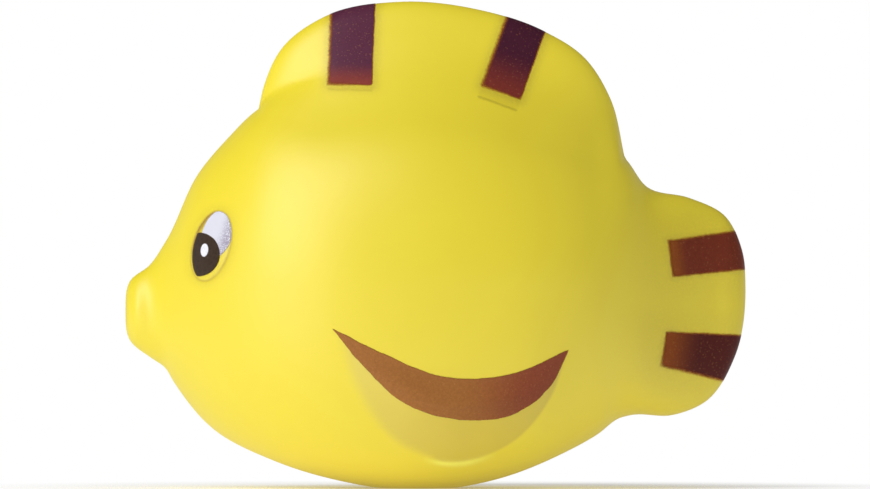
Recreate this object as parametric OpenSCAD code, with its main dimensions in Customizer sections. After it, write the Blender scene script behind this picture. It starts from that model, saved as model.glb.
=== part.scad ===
// Squeaky bath toy: a hollow soft vinyl fish with squeezable flanks and a reed squeaker in its belly.
// Head towards -X, tail towards +X, left flank towards -Y, flat belly on Z = 0.

/* [Body] */
// Length from the nose to the tail tip
body_length = 85; // [70:1:100]
// Height from the flat belly to the top of the back fin
body_height = 66.6; // [58:0.2:78]
// Width across both flanks
body_width = 46; // [40:1:54]
// Thickness of the vinyl wall over the flanks
wall = 2; // [1.4:0.1:2.4]
// Thickness of the vinyl rim where the two sides meet, and of the belly floor
rim_wall = 3.5; // [2.8:0.1:4]
// Depth of the round belly that is cut off flat
belly_cut = 0.4; // [0.2:0.1:0.6]
// Width of the snout
snout_width = 8; // [6:0.5:10]
// Thickness of the tail halfway along it
tail_thick = 9; // [8:0.5:12]

/* [Fins] */
// Thickness of the back fin at its base
back_fin_thick = 10; // [8:0.2:13]
// Reach of the rounding from the edge of the back fin inwards
back_fin_round = 12; // [6:0.5:16]
// Length of the fin moulded on each side, from tip to tip
side_fin_length = 32; // [24:1:36]
// Drop of the side fin from its front tip to its lip
side_fin_drop = 18.4; // [14:0.2:19]
// Height of the side fin's lip above the belly
side_fin_rise = 1.6; // [0.8:0.1:2.4]

/* [Flanks] */
// Length of the squeezable wall in each flank
flank_length = 48; // [40:1:50]
// Height of the squeezable wall in each flank
flank_height = 29; // [24:0.5:30]
// Gap round the squeezable wall
flank_gap = 0.3; // [0.2:0.05:0.6]

/* [Paint] */
// Thickness of a paint film
paint_thick = 0.25; // [0.1:0.05:0.4]
// Gap between the vinyl and a paint film
paint_gap = 0.2; // [0.1:0.05:0.4]
// Width of the front stripe over the back fin
front_stripe_width = 5.9; // [4:0.1:8]
// Width of the rear stripe over the back fin
rear_stripe_width = 5.5; // [4:0.1:8]
// Width of each stripe over the tail's edge
tail_stripe_width = 5; // [3:0.1:6]
// Height of the white of the eye
white_height = 6.7; // [5:0.1:8]
// Width of the white of the eye
white_width = 4; // [3:0.1:5]
// Height of the pupil
pupil_height = 6.2; // [4:0.1:7]
// Width of the pupil
pupil_width = 3.4; // [2.5:0.1:4]
// Height of the glint in the pupil
glint_height = 1.8; // [1:0.1:2.4]
// Width of the glint in the pupil
glint_width = 1; // [0.6:0.1:1.4]

/* [Squeaker] */
// Diameter of the flange under the belly
flange_d = 10.6; // [10:0.1:12]
// Thickness of the flange
flange_thick = 0.9; // [0.6:0.1:1.2]
// Diameter of the neck that passes through the belly floor
neck_d = 8.6; // [8:0.1:9]
// Overhang of the snap ring beyond the neck
snap_overhang = 0.5; // [0.3:0.1:0.8]
// Height of the snap ring
snap_height = 1.4; // [1:0.1:2]
// Height of the housing above the flange
housing_height = 8; // [7:0.5:9]
// Bore of the housing that holds the reed parts
housing_bore = 6.6; // [6:0.1:7]
// Thickness of the housing floor
housing_floor = 1.2; // [0.8:0.1:1.6]
// Diameter of the vent hole
vent_d = 2.2; // [1.4:0.1:2.6]
// Length of the trough that the reed beats on
trough_length = 11.5; // [10:0.5:12]
// Width of the air channel in the trough
channel_width = 2.4; // [1.6:0.1:2.8]
// Depth of the air channel in the trough
channel_depth = 1.6; // [1:0.1:2]
// Width of the reed
reed_width = 4; // [3.2:0.1:4.4]
// Thickness of the reed
reed_thick = 0.2; // [0.15:0.01:0.3]
// Diameter of the bead that the reed hinges on
reed_bead_d = 0.7; // [0.5:0.05:0.9]
// Length of the wedge that holds the reed down
wedge_length = 4; // [3:0.5:5]
// Wall of the cap over the reed
cap_wall = 0.8; // [0.6:0.1:1]
// Width of each air slot in the cap
cap_slot = 1.6; // [1:0.1:2]
// Clearance between parts that fit together
fit_gap = 0.1; // [0.05:0.05:0.15]
// Running clearance round the reed's bead
bead_gap = 0.05; // [0.02:0.01:0.08]

/* [Hidden] */
// Closed outline of the body without its back fin, as shares of length and height:
// nose, snout, forehead, back, tail, tail tip, then the belly back to the nose
back_outline_shares = [
    [0, 0.365], [0.007, 0.425], [0.039, 0.458], [0.064, 0.505], [0.12, 0.651], [0.165, 0.719],
    [0.2145, 0.779], [0.346, 0.818], [0.475, 0.83], [0.572, 0.812], [0.652, 0.779], [0.733, 0.735],
    [0.8055, 0.678], [0.842, 0.618], [0.91, 0.596], [0.967, 0.559], [0.994, 0.489]];
belly_outline_shares = [
    [1, 0.413], [0.982, 0.268], [0.937, 0.178], [0.882, 0.149], [0.815, 0.149], [0.797, 0.143],
    [0.762, 0.11], [0.7, 0.067], [0.604, 0.019], [0.459, 0], [0.346, 0.014], [0.24, 0.055],
    [0.14, 0.122], [0.078, 0.217], [0.0635, 0.247], [0.041, 0.267], [0.007, 0.303]];
// Index of the outline points where the back fin starts and ends
fin_front_point = 6;
fin_rear_point = 12;
// Edge of the back fin between those two points
fin_edge_shares = [
    [0.2235, 0.828], [0.252, 0.904], [0.322, 0.97], [0.443, 1], [0.572, 0.983],
    [0.669, 0.943], [0.741, 0.884], [0.782, 0.801]];
// Half-breadth seen from above: place along the length, share of the snout, body or tail breadth
snout_plan_shares = [[0, 0], [0.005, 0.55], [0.016, 0.85], [0.04, 1]];
body_plan_shares = [
    [0.1, 0.41], [0.14, 0.57], [0.22, 0.79], [0.32, 0.94], [0.435, 1], [0.555, 0.985],
    [0.665, 0.905], [0.745, 0.765], [0.812, 0.555]];
tail_plan_shares = [[0.865, 1.85], [0.91, 1.2], [0.95, 0.76], [0.978, 0.54], [0.993, 0.32], [1, 0]];
// Roundness of the section at places along the length: 2 is an ellipse, more is boxier
upper_power = [[0.05, 2], [0.75, 2], [0.9, 3]];
lower_power = [[0.05, 2], [0.3, 3], [0.65, 3], [0.75, 2.4], [0.9, 3]];
// Centre of the squeezable wall
flank_centre_share = [0.515, 0.514];
// Front tip of the side fin, and its upper and lower edges as shares of its length and drop
side_fin_tip_share = [0.336, 0.328];
side_fin_top_shares = [[0, 0], [0.22, 0.19], [0.475, 0.355], [0.755, 0.336], [1, 0.157]];
side_fin_lip_shares = [
    [0, 0], [0.077, 0.45], [0.26, 0.866], [0.52, 1], [0.777, 0.836], [0.94, 0.485], [1, 0.157]];
// Ends left off the side fin's sharp tips, and the band of its depth that the brown crescent covers
fin_end_share = 0.02;
crescent_top_share = 0.08;
crescent_depth_share = 0.48;
// Inner end of each stripe, and the way it runs to the edge
front_stripe_share = [0.363, 0.829];
front_stripe_angle = 88;
rear_stripe_share = [0.606, 0.813];
rear_stripe_angle = 70;
upper_tail_stripe_share = [0.879, 0.471];
upper_tail_stripe_angle = 7;
lower_tail_stripe_share = [0.868, 0.286];
lower_tail_stripe_angle = -8;
// Centres and lean of the white, the pupil and the glint
white_share = [0.147, 0.524];
pupil_share = [0.132, 0.481];
glint_share = [0.13, 0.489];
eye_lean_angle = 18;
// Place of the squeaker along the body
squeaker_share = 0.465;
// Steps per outline span in the meshes and in the tables that they are read from
mesh_steps = 3;
table_steps = 12;
// Rings of the meshes from the flank's edge to the crease, from there to the rim, and across the flank
crease_steps = 6;
rim_steps = 5;
inner_steps = 6;
flank_steps = 6;
flank_inner_steps = 4;
// Steps of the side fin, its crescent, the stripes and the eye spots
fin_steps = 18;
fin_deep_steps = 6;
crescent_steps = 4;
stripe_across_steps = 5;
stripe_along_steps = 7;
spot_steps = 8;
// Sharpness of the crease where the back fin meets the body, and the furthest place of its ring
crease_power = 3;
crease_limit_share = 0.8;
// Share of the half-height that the section keeps under the back fin, share of the fin that it rises to
// at the fin's front, and shares of the fin's length where it swells up at the front and falls at the rear
back_fin_hold_share = 0.8;
back_fin_low_share = 0.2;
back_fin_swell_share = 0.22;
back_fin_fall_share = 0.02;
// Thickness left at the rear of the back fin, the depth below the back where its root runs out,
// the shares of its length where the root thins out and of that depth where it starts to
back_fin_rear_share = 0.75;
back_fin_root = 9;
fin_notch_share = 0.1;
fin_notch_depth_share = 0.25;
// Overlap of neighbouring outline segments, so that a ray through their corner meets one
corner_share = 0.001;
// Step for measuring the slope of the skin
probe = 0.2;
// Depth that the side fin is rooted in the wall, and the sink of its upper edge
fin_root = 1;
fin_sink = 0.3;
// Least half-thickness of the hollow
least_hollow = 0.5;
// Thickness of the belly floor that the squeaker's flange and snap ring grip
grip_thick = 1.6;
// Slant of the trough away from the reed, and the wall left at the trough's tip
reed_lay_angle = 3.5;
trough_tip = 1.2;
// Offset of the reed from the squeaker's axis towards the tail
reed_x = 0.5;
// Overrun of cuts
over = 1;
$fn = 64;

// Heights of the squeaker's seats above the belly
seat_z = fit_gap + flange_thick;
grip_z = seat_z + grip_thick;
snap_z = grip_z + fit_gap;
snap_d = neck_d + 2 * snap_overhang;
bore_z = fit_gap + housing_floor;
bead_z = bore_z + wedge_length - reed_bead_d;
cap_z = snap_z + snap_height + fit_gap;
cap_top = bore_z + trough_length + fit_gap + cap_wall;
// Gaps under the paint films that lie over other films
pupil_gap = 2 * paint_gap + paint_thick;
glint_gap = pupil_gap + paint_thick + paint_gap;

vinyl_yellow = [0.93, 0.85, 0.24];
paint_brown = [0.4, 0.2, 0.2];
paint_white = [0.84, 0.84, 0.88];
paint_dark = [0.2, 0.16, 0.13];
plastic_cream = [0.93, 0.9, 0.82];

// Curves through hand-chosen points
function unit(v) = v / norm(v);
function turn_at(a, b, c) =
    let (before = norm(b - a), after = norm(c - b))
    (unit(b - a) * after + unit(c - b) * before) / (before + after);
function span_point(a, b, c, d, t) =
    let (reach = norm(c - b), out = turn_at(a, b, c) * reach, into = turn_at(b, c, d) * reach)
    b * (1 + t * t * (2 * t - 3)) + out * (t * (1 - t) * (1 - t))
    + c * (t * t * (3 - 2 * t)) - into * (t * t * (1 - t));
function loop_curve(p, steps) =
    let (n = len(p))
    [for (i = [0 : n - 1], s = [0 : steps - 1])
        span_point(p[(i + n - 1) % n], p[i], p[(i + 1) % n], p[(i + 2) % n], s / steps)];
function open_curve(p, steps) =
    let (n = len(p), q = concat([2 * p[0] - p[1]], p, [2 * p[n - 1] - p[n - 2]]))
    concat([for (i = [0 : n - 2], s = [0 : steps - 1])
        span_point(q[i], q[i + 1], q[i + 2], q[i + 3], s / steps)], [p[n - 1]]);
function part_of(p, first, last) = [for (i = [first : last]) p[i]];
function reversed(p) = [for (i = [len(p) - 1 : -1 : 0]) p[i]];
function placed(share) = [(share[0] - 0.5) * body_length,
    share[1] > 0 ? share[1] * body_height : -belly_cut];

// Outline of the body and the edge of the back fin
body_points = [for (s = concat(back_outline_shares, belly_outline_shares)) placed(s)];
fin_points = concat([body_points[fin_front_point]], [for (s = fin_edge_shares) placed(s)],
    [body_points[fin_rear_point]]);
tail_tip_point = len(back_outline_shares);
body_table = loop_curve(body_points, table_steps);
fin_table = open_curve(fin_points, table_steps);
back_table = part_of(body_table, 0, tail_tip_point * table_steps);
belly_table = concat([body_table[0]],
    reversed(part_of(body_table, tail_tip_point * table_steps, len(body_table) - 1)));
function whole_outline(body, fin, steps) = concat(
    part_of(body, 0, fin_front_point * steps - 1), part_of(fin, 0, len(fin) - 2),
    part_of(body, fin_rear_point * steps, len(body) - 1));
outline = whole_outline(loop_curve(body_points, mesh_steps), open_curve(fin_points, mesh_steps),
    mesh_steps);
fine_outline = whole_outline(body_table, fin_table, table_steps);
plan_table = open_curve(concat(
    [for (s = snout_plan_shares) [placed(s)[0], s[1] * snout_width / 2]],
    [for (s = body_plan_shares) [placed(s)[0], s[1] * body_width / 2]],
    [for (s = tail_plan_shares) [placed(s)[0], s[1] * tail_thick / 2]]), table_steps);

// Half-width of the skin over a point of the side view
function ease(t) = let (u = min(1, max(0, t))) u * u * (3 - 2 * u);
function fin_run(x) =
    let (first = fin_points[0][0], last = fin_points[len(fin_points) - 1][0])
    (x - first) / (last - first);
function from_fin_ends(x) = min(fin_run(x), 1 - fin_run(x));
// Share of the width at an offset from the middle line: a reach beyond the height draws the top out
function section_share(off, height, reach, power) = off >= reach ? 0
    : let (hold = back_fin_hold_share * height,
        rest = pow((reach - max(off, hold)) / (reach - hold), (reach - hold) / (height - hold)),
        sunk = off > hold ? height - (height - hold) * rest : off)
    pow(1 - pow(sunk / height, power), 1 / power);
function fin_above(x, back) = from_fin_ends(x) <= 0 ? 0
    : max(0, lookup(x, fin_table) - back) * ease((1 - fin_run(x)) / back_fin_fall_share);
function body_half_width(p) =
    let (back = lookup(p[0], back_table), low = lookup(p[0], belly_table), middle = (back + low) / 2,
        upper = p[1] > middle, off = abs(p[1] - middle), height = back - middle,
        power = lookup(p[0] / body_length + 0.5, upper ? upper_power : lower_power),
        above = upper ? fin_above(p[0], back) : 0,
        plain = section_share(off, height, height + above * back_fin_low_share, power),
        finned = section_share(off, height, height + above, power),
        swell = ease(fin_run(p[0]) / back_fin_swell_share))
    max(lookup(p[0], plan_table), 0) * (plain + (finned - plain) * swell);
function segment_distance(p, a, b) =
    let (along = min(1, max(0, ((p - a) * (b - a)) / ((b - a) * (b - a)))))
    norm(p - a - (b - a) * along);
function fin_depth(p) = min([for (i = [1 : len(fin_table) - 1])
    segment_distance(p, fin_table[i - 1], fin_table[i])]);
function under_fin(p) = p[1] > flank_centre[1] && from_fin_ends(p[0]) > 0;
function fin_half_width(p) = !under_fin(p) ? 0
    : let (bare = max(0, 1 - fin_depth(p) / back_fin_round),
        sunk = max(0, lookup(p[0], back_table) - p[1]) / back_fin_root,
        ends = ease(from_fin_ends(p[0]) / fin_notch_share + 1 - sunk / fin_notch_depth_share))
        back_fin_thick / 2 * (1 - (1 - back_fin_rear_share) * ease(fin_run(p[0]))) * sqrt(1 - bare * bare)
            * ends * (1 - ease(sunk));
function half_width(p) =
    pow(pow(body_half_width(p), crease_power) + pow(fin_half_width(p), crease_power), 1 / crease_power);
function slope(p) = [
    (half_width(p + [probe, 0]) - half_width(p - [probe, 0])) / (2 * probe),
    (half_width(p + [0, probe]) - half_width(p - [0, probe])) / (2 * probe)];
function hollow_half_width(p) =
    let (tilt = slope(p))
    max(least_hollow, half_width(p) - wall * sqrt(1 + tilt * tilt));
function left_skin(p) = [p[0], -half_width(p), p[1]];
function flat_mirror(p) = [p[0], -p[1], p[2]];
function at_height(p, y) = [p[0], y, p[1]];

// Rays from the flank's centre: the edge of the squeezable wall, the rim and the rim of the hollow
flank_centre = placed(flank_centre_share);
function flank_edge(toward, gap) =
    let (way = unit(toward - flank_centre), long = flank_length / 2 - gap, high = flank_height / 2 - gap)
    flank_centre + way / sqrt(pow(way[0] / long, 2) + pow(way[1] / high, 2));
function hollow_rim(p) = p - unit(p - flank_centre) * rim_wall;
function crowded(t) = 1 - (1 - t) * (1 - t);
function reach_to(loop, p, way) = min([for (i = [0 : len(loop) - 1])
    let (a = loop[i], edge = loop[(i + 1) % len(loop)] - a,
        turn = way[0] * edge[1] - way[1] * edge[0], off = a - p,
        ahead = (off[0] * edge[1] - off[1] * edge[0]) / turn,
        along = (off[0] * way[1] - off[1] * way[0]) / turn)
    if (ahead > 0 && abs(2 * along - 1) < 1 + corner_share) ahead]);
function ring_places(edge, rim) =
    let (meets = min(1, reach_to(body_table, edge, unit(rim - edge)) / norm(rim - edge)),
        crease = min(crease_limit_share, meets),
        crowding = min(1, (1 - meets) / (1 - crease_limit_share)))
    concat([for (k = [0 : crease_steps - 1])
            let (even = k / crease_steps) crease * (even + (crowded(even) - even) * crowding)],
        [for (k = [0 : rim_steps - 1]) crease + (1 - crease) * crowded(k / rim_steps)]);

// Faces of a grid of points: rows one after another, each row closed or open
function quad(a, b, c, d) = [[a, b, c], [a, c, d]];
function ring_faces(rows, n, closed) = [
    for (r = [0 : rows - (closed ? 1 : 2)], i = [0 : n - 1])
        let (next = (r + 1) % rows, j = (i + 1) % n)
        each quad(r * n + i, r * n + j, next * n + j, next * n + i)];

// Cross-section of the shell along one ray: left skin, rim, right skin, then the hollow back again
function shell_section(rim) =
    let (edge = flank_edge(rim, 0), core = hollow_rim(rim),
        skin = [for (place = ring_places(edge, rim)) left_skin(edge + (rim - edge) * place)],
        hollow = [for (k = [0 : inner_steps - 1])
            let (p = edge + (core - edge) * crowded(k / inner_steps))
            at_height(p, -hollow_half_width(p))])
    concat(skin, [at_height(rim, 0)], [for (p = reversed(skin)) flat_mirror(p)],
        [for (p = hollow) flat_mirror(p)], [at_height(core, 0)], reversed(hollow));

module shell_skin() {
    sections = [for (rim = outline) shell_section(rim)];
    polyhedron([for (s = sections) each s], ring_faces(len(sections), len(sections[0]), true),
        convexity = 8);
}

// Flank wall between its outer skin and its inner face, from the middle to its edge
module left_flank_wall() {
    n = len(outline);
    edge = [for (rim = outline) flank_edge(rim, flank_gap)];
    outer = [for (k = [1 : flank_steps], e = edge)
        left_skin(flank_centre + (e - flank_centre) * (k / flank_steps))];
    inner = [for (k = [flank_inner_steps : -1 : 1], e = edge)
        let (p = flank_centre + (e - flank_centre) * (k / flank_inner_steps))
        at_height(p, -hollow_half_width(p))];
    rows = flank_steps + flank_inner_steps;
    outer_pole = rows * n;
    points = concat(outer, inner,
        [left_skin(flank_centre), at_height(flank_centre, -hollow_half_width(flank_centre))]);
    faces = concat([for (f = ring_faces(rows, n, false)) reversed(f)],
        [for (i = [0 : n - 1]) [outer_pole, i, (i + 1) % n]],
        [for (i = [0 : n - 1]) [outer_pole + 1, (rows - 1) * n + (i + 1) % n, (rows - 1) * n + i]]);
    polyhedron(points, faces, convexity = 4);
}

// Solid between two grids of points over the same patch
function patch_faces(rows, n) =
    let (all = rows * n)
    concat(
        [for (r = [0 : rows - 2], i = [0 : n - 2])
            each quad(r * n + i, r * n + i + 1, (r + 1) * n + i + 1, (r + 1) * n + i)],
        [for (r = [0 : rows - 2], i = [0 : n - 2])
            each quad(all + r * n + i, all + (r + 1) * n + i, all + (r + 1) * n + i + 1,
                all + r * n + i + 1)],
        [for (r = [0 : rows - 2]) each quad(r * n, (r + 1) * n, all + (r + 1) * n, all + r * n)],
        [for (r = [0 : rows - 2])
            each quad((r + 1) * n + n - 1, r * n + n - 1, all + r * n + n - 1, all + (r + 1) * n + n - 1)],
        [for (i = [0 : n - 2]) each quad(i + 1, i, all + i, all + i + 1)],
        [for (i = [0 : n - 2])
            each quad((rows - 1) * n + i, (rows - 1) * n + i + 1, all + (rows - 1) * n + i + 1,
                all + (rows - 1) * n + i)]);
function grid_normal(g, r, i) =
    let (rows = len(g), n = len(g[0]),
        down = g[min(r + 1, rows - 1)][i] - g[max(r - 1, 0)][i],
        across = g[r][min(i + 1, n - 1)] - g[r][max(i - 1, 0)])
    unit(cross(across, down));
function lifted(g, height) = [for (r = [0 : len(g) - 1], i = [0 : len(g[0]) - 1])
    g[r][i] + grid_normal(g, r, i) * height];
module film(g, gap) {
    polyhedron(concat(lifted(g, gap), lifted(g, gap + paint_thick)), patch_faces(len(g), len(g[0])));
}

// Side fin: a leaf that swells from its upper edge to its lip
side_fin_tip = placed(side_fin_tip_share);
function side_fin_place(s) = side_fin_tip + [s[0] * side_fin_length, -s[1] * side_fin_drop];
side_fin_top = [for (s = side_fin_top_shares) side_fin_place(s)];
side_fin_lip = [for (s = side_fin_lip_shares) side_fin_place(s)];
function curve_at(p, t) =
    let (n = len(p), i = min(n - 2, floor(t * (n - 1))),
        before = i > 0 ? p[i - 1] : 2 * p[0] - p[1],
        after = i < n - 2 ? p[i + 2] : 2 * p[n - 1] - p[n - 2])
    span_point(before, p[i], p[i + 1], after, t * (n - 1) - i);
function side_fin_skin(along, deep, height) =
    let (p = curve_at(side_fin_top, along) * (1 - deep) + curve_at(side_fin_lip, along) * deep)
    at_height(p, -half_width(p) - height);
function side_fin_swell(along, deep) =
    (side_fin_rise + fin_sink) * sqrt(sin(180 * along)) * sin(90 * deep) - fin_sink;
function fin_places(first, last, steps) = [for (k = [0 : steps]) first + (last - first) * k / steps];

module left_side_fin() {
    alongs = fin_places(fin_end_share, 1 - fin_end_share, fin_steps);
    deeps = fin_places(0, 1, fin_deep_steps);
    root = [for (a = alongs, d = deeps) side_fin_skin(a, d, -fin_root)];
    skin = [for (a = alongs, d = deeps) side_fin_skin(a, d, side_fin_swell(a, d))];
    polyhedron(concat(root, skin), patch_faces(len(alongs), len(deeps)));
}

module left_crescent() {
    film([for (a = fin_places(fin_end_share, 1 - fin_end_share, fin_steps))
        [for (d = fin_places(crescent_top_share, crescent_depth_share, crescent_steps))
            side_fin_skin(a, d, side_fin_swell(a, d))]], paint_gap);
}

// Stripe that wraps over the rim from one side to the other
module rim_stripe(share, angle, width) {
    way = [cos(angle), sin(angle)];
    side = [sin(angle), -cos(angle)];
    starts = [for (k = [0 : stripe_across_steps])
        placed(share) + side * (k / stripe_across_steps - 0.5) * width];
    ends = [for (p = starts) p + way * reach_to(fine_outline, p, way)];
    film([for (r = [-stripe_along_steps : stripe_along_steps])
        [for (k = [0 : stripe_across_steps])
            let (p = ends[k] + (starts[k] - ends[k]) * pow(r / stripe_along_steps, 2))
            at_height(p, sign(r) * half_width(p))]], paint_gap);
}

// Oval paint spot on the left side
module left_spot(share, width, height, gap) {
    across = [cos(eye_lean_angle), -sin(eye_lean_angle)] * width / 2;
    up = [sin(eye_lean_angle), cos(eye_lean_angle)] * height / 2;
    steps = [for (k = [0 : spot_steps]) 2 * k / spot_steps - 1];
    film([for (b = steps) [for (a = steps)
        left_skin(placed(share) + across * a * sqrt(1 - b * b / 2) + up * b * sqrt(1 - a * a / 2))]], gap);
}

module body_shell() {
    color(vinyl_yellow)
    difference() {
        union() {
            shell_skin();
            left_side_fin();
            mirror([0, 1, 0]) left_side_fin();
        }
        translate([-body_length, -body_width, -belly_cut - over])
            cube([2 * body_length, 2 * body_width, belly_cut + over]);
        at_squeaker() {
            translate([0, 0, -over]) cylinder(d = flange_d + 2 * fit_gap, h = over + seat_z);
            cylinder(d = neck_d + 2 * fit_gap, h = rim_wall + over);
            translate([0, 0, grip_z]) cylinder(d = snap_d + 2 * fit_gap, h = rim_wall);
        }
    }
}

module left_flank() {
    color(vinyl_yellow) left_flank_wall();
}

module right_flank() {
    color(vinyl_yellow) mirror([0, 1, 0]) left_flank_wall();
}

// Squeaker: housing through the belly floor, trough, reed and wedge in its bore, cap on top
module at_squeaker() {
    translate([(squeaker_share - 0.5) * body_length, 0, 0]) children();
}

module squeaker_housing() {
    color(plastic_cream)
    at_squeaker()
    difference() {
        rotate_extrude()
            polygon([[0, fit_gap], [flange_d / 2, fit_gap], [flange_d / 2, seat_z], [neck_d / 2, seat_z],
                [neck_d / 2, snap_z], [snap_d / 2, snap_z], [neck_d / 2, snap_z + snap_height],
                [neck_d / 2, seat_z + housing_height], [0, seat_z + housing_height]]);
        translate([0, 0, bore_z]) cylinder(d = housing_bore, h = housing_height + seat_z);
        translate([0, 0, -over]) cylinder(d = vent_d, h = bore_z + 2 * over);
    }
}

// Round rod in the housing's bore, from its floor up
module bore_rod(length) {
    translate([0, 0, bore_z]) cylinder(d = housing_bore - 2 * fit_gap, h = length);
}

// Round seat of the reed's bead, across the bore
module bead_at(d, length) {
    translate([reed_x, 0, bead_z]) rotate([90, 0, 0]) cylinder(d = d, h = length, center = true);
}

module reed_trough() {
    color(plastic_cream)
    at_squeaker()
    difference() {
        bore_rod(trough_length);
        translate([reed_x - reed_thick / 2 - fit_gap, -housing_bore, 0])
            cube([housing_bore, 2 * housing_bore, bore_z + trough_length + over]);
        translate([reed_x - reed_thick / 2 - fit_gap, 0, bead_z])
            rotate([0, -reed_lay_angle, 0])
                translate([0, -housing_bore, 0]) cube([housing_bore, 2 * housing_bore, trough_length]);
        translate([reed_x - reed_thick / 2 - fit_gap - channel_depth, -channel_width / 2, bore_z - over])
            cube([housing_bore, channel_width, over + trough_length - trough_tip]);
        bead_at(reed_bead_d + 2 * bead_gap, 2 * housing_bore);
    }
}

module reed() {
    color("gainsboro")
    at_squeaker() {
        bead_at(reed_bead_d, reed_width);
        translate([reed_x - reed_thick / 2, -reed_width / 2, bead_z])
            cube([reed_thick, reed_width, bore_z + trough_length - bead_z]);
    }
}

module reed_wedge() {
    color(plastic_cream)
    at_squeaker()
    difference() {
        bore_rod(wedge_length);
        translate([-housing_bore, -housing_bore, 0])
            cube([housing_bore + reed_x + reed_thick / 2 + fit_gap, 2 * housing_bore,
                bore_z + wedge_length + over]);
        bead_at(reed_bead_d + 2 * bead_gap, 2 * housing_bore);
    }
}

module squeaker_cap() {
    inner = neck_d + 2 * fit_gap;
    color(plastic_cream)
    at_squeaker()
    difference() {
        translate([0, 0, cap_z]) cylinder(d = inner + 2 * cap_wall, h = cap_top - cap_z);
        translate([0, 0, cap_z - over]) cylinder(d = inner, h = cap_top - cap_wall - cap_z + over);
        for (turn = [0, 90])
            rotate(turn)
                translate([-inner, -cap_slot / 2, seat_z + housing_height + fit_gap])
                    cube([2 * inner, cap_slot, cap_top - cap_wall - seat_z - housing_height - 2 * fit_gap]);
    }
}

module front_dorsal_stripe() {
    color(paint_brown) rim_stripe(front_stripe_share, front_stripe_angle, front_stripe_width);
}

module rear_dorsal_stripe() {
    color(paint_brown) rim_stripe(rear_stripe_share, rear_stripe_angle, rear_stripe_width);
}

module upper_tail_stripe() {
    color(paint_brown) rim_stripe(upper_tail_stripe_share, upper_tail_stripe_angle, tail_stripe_width);
}

module lower_tail_stripe() {
    color(paint_brown) rim_stripe(lower_tail_stripe_share, lower_tail_stripe_angle, tail_stripe_width);
}

module left_fin_crescent() {
    color(paint_brown) left_crescent();
}

module right_fin_crescent() {
    color(paint_brown) mirror([0, 1, 0]) left_crescent();
}

module left_eye_white() {
    color(paint_white) left_spot(white_share, white_width, white_height, paint_gap);
}

module right_eye_white() {
    color(paint_white) mirror([0, 1, 0]) left_spot(white_share, white_width, white_height, paint_gap);
}

module left_pupil() {
    color(paint_dark) left_spot(pupil_share, pupil_width, pupil_height, pupil_gap);
}

module right_pupil() {
    color(paint_dark) mirror([0, 1, 0]) left_spot(pupil_share, pupil_width, pupil_height, pupil_gap);
}

module left_glint() {
    color(paint_white) left_spot(glint_share, glint_width, glint_height, glint_gap);
}

module right_glint() {
    color(paint_white) mirror([0, 1, 0]) left_spot(glint_share, glint_width, glint_height, glint_gap);
}

body_shell();
left_flank();
right_flank();
squeaker_housing();
reed_trough();
reed();
reed_wedge();
squeaker_cap();
front_dorsal_stripe();
rear_dorsal_stripe();
upper_tail_stripe();
lower_tail_stripe();
left_fin_crescent();
right_fin_crescent();
left_eye_white();
right_eye_white();
left_pupil();
right_pupil();
left_glint();
right_glint();
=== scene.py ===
# Soft vinyl bath fish: its fine skin, its sprayed paint and a white studio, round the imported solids.
# Head towards -X, tail towards +X, left flank towards -Y and the camera, flat belly on Z = 0.
import math

import bmesh
import bpy
import numpy as np
from mathutils import Matrix, Vector


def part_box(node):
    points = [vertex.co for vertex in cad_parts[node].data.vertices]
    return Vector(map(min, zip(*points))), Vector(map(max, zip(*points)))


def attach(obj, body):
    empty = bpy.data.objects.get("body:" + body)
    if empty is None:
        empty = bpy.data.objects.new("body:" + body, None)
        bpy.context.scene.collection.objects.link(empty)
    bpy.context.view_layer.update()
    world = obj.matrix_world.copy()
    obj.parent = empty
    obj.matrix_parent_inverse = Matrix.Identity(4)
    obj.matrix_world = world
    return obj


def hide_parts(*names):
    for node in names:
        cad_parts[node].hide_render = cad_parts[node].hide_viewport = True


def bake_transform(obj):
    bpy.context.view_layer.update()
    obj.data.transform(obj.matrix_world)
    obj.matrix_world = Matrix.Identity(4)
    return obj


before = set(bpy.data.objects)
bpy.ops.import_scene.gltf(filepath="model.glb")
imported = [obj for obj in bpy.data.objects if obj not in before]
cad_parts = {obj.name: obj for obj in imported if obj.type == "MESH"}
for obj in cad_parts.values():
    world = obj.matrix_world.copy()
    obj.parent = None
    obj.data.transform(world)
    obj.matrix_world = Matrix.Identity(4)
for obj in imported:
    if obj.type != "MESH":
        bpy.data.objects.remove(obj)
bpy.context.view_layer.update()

bpy.context.scene.view_settings.view_transform = "Standard"

# Sizes taken from the frame
MM = 0.001
shell_low, shell_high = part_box("body_shell")
LENGTH = shell_high.x - shell_low.x
HEIGHT = shell_high.z
HALF_BREADTH = -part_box("left_flank")[0].y
flange_low, flange_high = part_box("squeaker_housing")
FLANGE_RADIUS = (flange_high.y - flange_low.y) / 2
SQUEAKER_X = (flange_high.x + flange_low.x) / 2

# Sizes of the moulding
SNOUT_WIDTH = 8 * MM
TAIL_THICK = 9 * MM
BELLY_CUT = 0.4 * MM
WALL = 2 * MM
RIM_WALL = 3.5 * MM
LEAST_HOLLOW = 0.5 * MM
POCKET_DEPTH = 1 * MM
POCKET_GAP = 0.1 * MM
NECK_RADIUS = 4.4 * MM

# Back fin: its sizes, then shares of the section below it and of its length
BACK_FIN_THICK = 10 * MM
BACK_FIN_ROUND = 12 * MM
BACK_FIN_ROOT = 9 * MM
BACK_FIN_REAR = 0.75
FIN_HOLD = 0.8
FIN_LOW = 0.2
FIN_SWELL = 0.22
FIN_FALL = 0.02
FIN_NOTCH = 0.1
FIN_NOTCH_DEPTH = 0.25
CREASE_POWER = 3

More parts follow.
